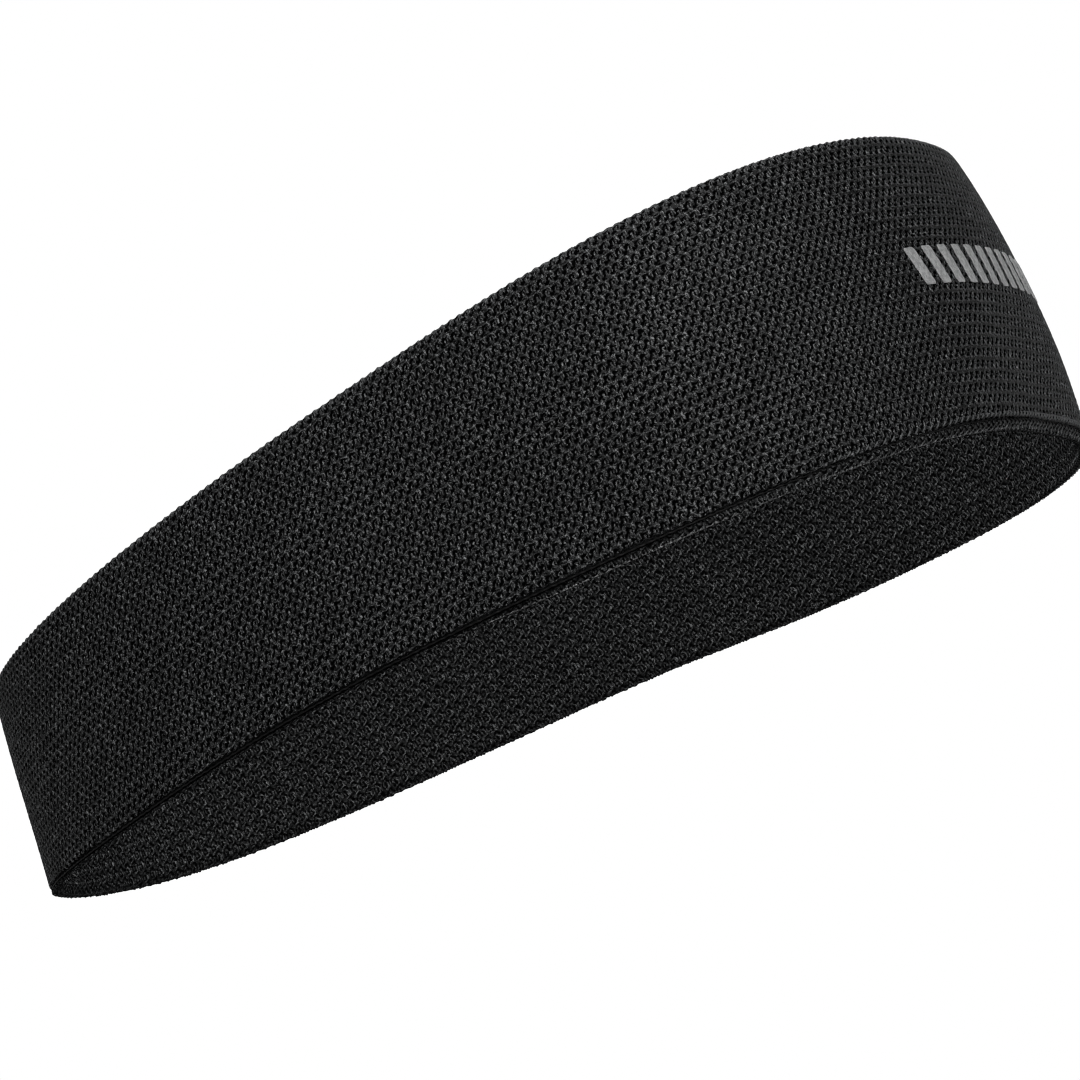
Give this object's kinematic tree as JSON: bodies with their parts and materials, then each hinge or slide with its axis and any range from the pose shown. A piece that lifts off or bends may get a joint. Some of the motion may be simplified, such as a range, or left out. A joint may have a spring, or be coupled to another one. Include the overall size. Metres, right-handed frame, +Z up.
{
  "type": "sports headband",
  "caption": "Contoured two-layer mesh-knit sports headband, tall at the forehead and low at the nape, with a stitched lower groove and a reflective print.",
  "frame": {"origin": "centre of the loop, level with its lower edge", "axes": "+Z up as worn, -Y out of the forehead, -X towards the wearer's right"},
  "size_m": [0.1586, 0.199, 0.056],
  "materials": {
    "outer_knit": "matte",
    "lining_knit": "matte",
    "seam_thread": "satin",
    "reflective_print": "satin",
    "label_satin": "satin"
  },
  "bodies": {
    "band": {"outer_shell": "outer_knit", "inner_lining": "lining_knit", "bottom_edge_seam": "seam_thread", "top_edge_seam": "seam_thread", "outer_back_seam": "seam_thread", "lining_back_seam": "seam_thread", "front_mark": "reflective_print", "care_label_stitch": "seam_thread"},
    "label": {"care_label": "label_satin"}
  },
  "joints": [
    {"name": "care_label_flap", "type": "hinge", "parent": "band", "child": "label", "pos_m": [0, 0.09068, 0.03], "axis": [-1, 0, 0], "range_deg": [0, 120]}
  ]
}
